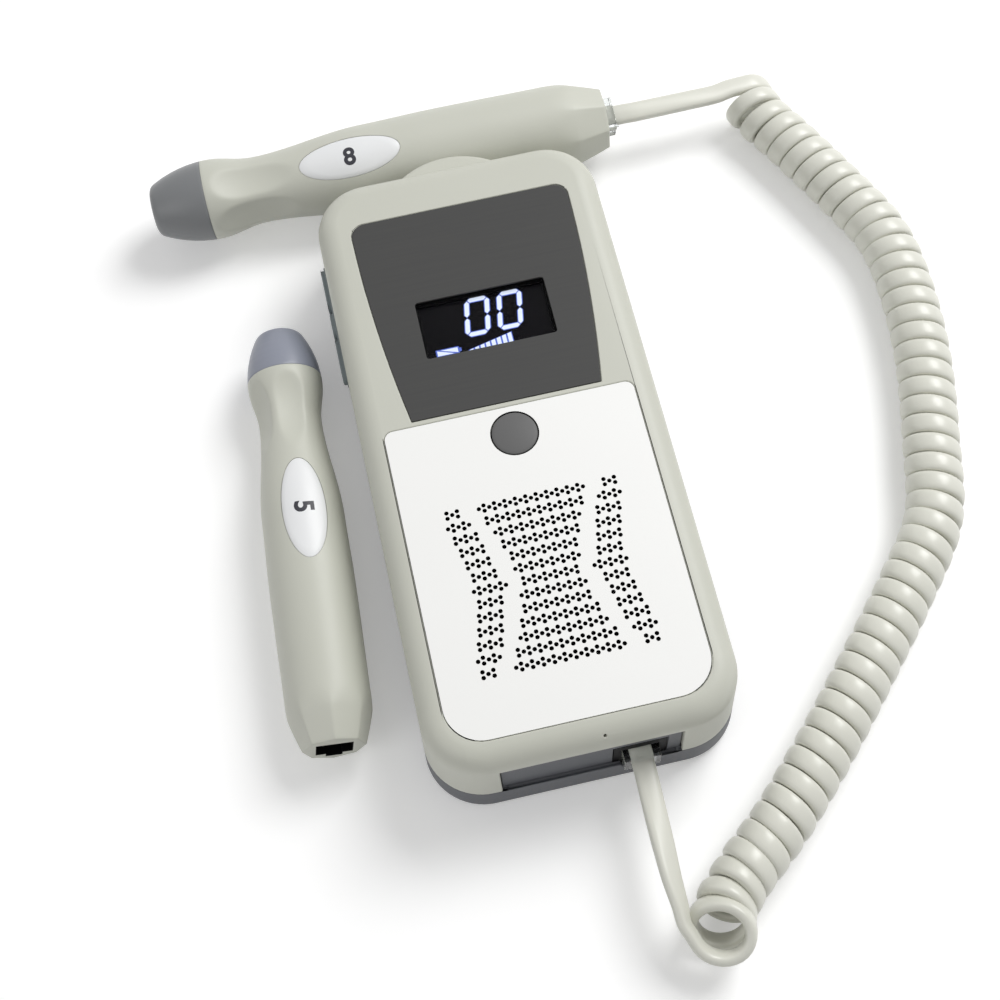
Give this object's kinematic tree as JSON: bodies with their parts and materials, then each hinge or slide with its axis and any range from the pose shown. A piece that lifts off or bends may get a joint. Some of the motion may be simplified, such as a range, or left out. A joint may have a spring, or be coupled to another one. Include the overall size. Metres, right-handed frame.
{
  "type": "vascular doppler",
  "caption": "Hand-held ultrasound unit with a perforated speaker plate and small display, a probe clipped across its end on a curly cord, and a loose spare probe.",
  "frame": {"origin": "centre of the unit's flat back face", "axes": "+X to the unit's right seen from the front, +Y along the unit towards the probe holder, +Z out of the unit's front face"},
  "size_m": [0.1758, 0.2112, 0.0283],
  "materials": {
    "putty_plastic": "satin moulded plastic",
    "slate_plastic": "satin moulded plastic",
    "overlay_film": "printed film, matt",
    "window_clear": "clear, polished",
    "display_glass": "dark glass with lit digits",
    "black_plastic": "smooth moulded plastic",
    "white_plate": "fine satin",
    "speaker_cloth": "fine weave",
    "pressed_steel": "plated",
    "cone_paper": "matt",
    "button_rubber": "matt silicone",
    "key_rubber": "matt silicone",
    "board_laminate": "solder mask",
    "contact_gold": "gold plated",
    "cell_jacket": "printed sleeve",
    "cap_grey": "satin moulded plastic",
    "cap_blue": "satin moulded plastic",
    "label_white": "printed film",
    "plug_clear": "clear polycarbonate",
    "cord_ivory": "soft satin jacket"
  },
  "bodies": {
    "unit": {"front_shell": "putty_plastic", "rear_shell": "slate_plastic", "display_overlay": "overlay_film", "display_window": "window_clear", "display_glass": "display_glass", "display_frame": "black_plastic", "speaker_plate": "white_plate", "speaker_cloth": "speaker_cloth", "speaker_frame": "pressed_steel", "speaker_cone": "cone_paper", "power_switch": "black_plastic", "key_bezel": "key_rubber", "volume_up_switch": "black_plastic", "volume_down_switch": "black_plastic", "circuit_board": "board_laminate", "socket_housing": "black_plastic", "socket_contacts": "contact_gold", "battery_left": "cell_jacket", "battery_middle": "cell_jacket", "battery_right": "cell_jacket", "battery_springs": "pressed_steel", "battery_plates": "pressed_steel", "case_screws": "pressed_steel", "coil_cord": "cord_ivory", "lead_probe": "cord_ivory", "lead_unit": "cord_ivory"},
    "power_button": {"power_button": "button_rubber", "power_switch_plunger": "black_plastic"},
    "volume_up": {"volume_up_key": "key_rubber", "volume_up_plunger": "black_plastic"},
    "volume_down": {"volume_down_key": "key_rubber", "volume_down_plunger": "black_plastic"},
    "battery_door": {"battery_door": "slate_plastic"},
    "held_probe": {"probe_body": "putty_plastic", "probe_cap": "cap_grey", "probe_label": "label_white", "probe_socket": "black_plastic", "probe_socket_contacts": "contact_gold", "probe_plug": "plug_clear", "probe_plug_contacts": "contact_gold"},
    "unit_plug": {"unit_plug": "plug_clear", "unit_plug_contacts": "contact_gold"},
    "spare_probe": {"spare_body": "putty_plastic", "spare_cap": "cap_blue", "spare_label": "label_white", "spare_socket": "black_plastic", "spare_socket_contacts": "contact_gold"}
  },
  "joints": [
    {"name": "power_button_press", "type": "slide", "parent": "unit", "child": "power_button", "axis": [0, 0, -1], "range_m": [0, 0.0008], "stiffness_N_per_m": 900},
    {"name": "volume_up_press", "type": "slide", "parent": "unit", "child": "volume_up", "axis": [1, 0, 0], "range_m": [0, 0.0008], "stiffness_N_per_m": 900},
    {"name": "volume_down_press", "type": "slide", "parent": "unit", "child": "volume_down", "axis": [1, 0, 0], "range_m": [0, 0.0008], "stiffness_N_per_m": 900},
    {"name": "battery_door_swing", "type": "hinge", "parent": "unit", "child": "battery_door", "pos_m": [0, -0.05425, 0], "axis": [-1, 0, 0], "range_deg": [0, 100]},
    {"name": "held_probe_slide", "type": "slide", "parent": "unit", "child": "held_probe", "axis": [0, 1, 0], "range_m": [0, 0.03], "deforming": ["lead_probe"]},
    {"name": "unit_plug_slide", "type": "slide", "parent": "unit", "child": "unit_plug", "axis": [0, -1, 0], "range_m": [0, 0.012], "deforming": ["lead_unit"]},
    {"name": "spare_probe_lift", "type": "slide", "parent": "unit", "child": "spare_probe", "axis": [0, 0, 1], "range_m": [0, 0.1]}
  ]
}
